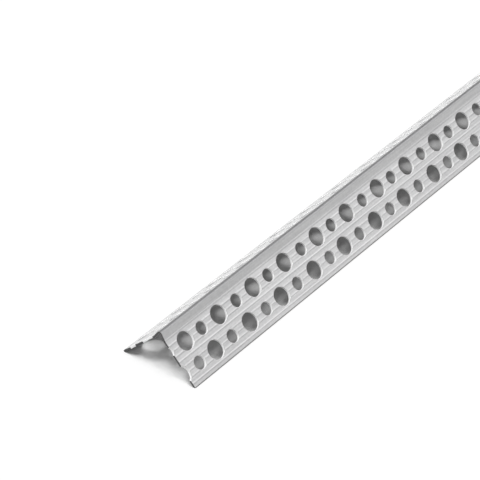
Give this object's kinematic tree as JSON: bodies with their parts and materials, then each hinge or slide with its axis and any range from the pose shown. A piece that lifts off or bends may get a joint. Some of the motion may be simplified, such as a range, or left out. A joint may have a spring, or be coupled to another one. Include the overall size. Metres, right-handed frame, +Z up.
{
  "type": "perforated aluminium corner profile",
  "caption": "Right-angled perforated aluminium corner profile with staggered round holes in both legs and a rounded nose that stands slightly proud, for plastered wall corners.",
  "frame": {"origin": "on the ground, half way along the profile and half way between its free edges", "axes": "+X along the profile, +Z up through the nose, +Y towards the leg that is hidden in the picture"},
  "size_m": [1, 0.0342, 0.0183],
  "materials": {
    "mill_aluminium": "mill finish, satin, with fine lengthwise ribs on the outer faces"
  },
  "bodies": {
    "root": {"corner_profile": "mill_aluminium"}
  },
  "joints": []
}
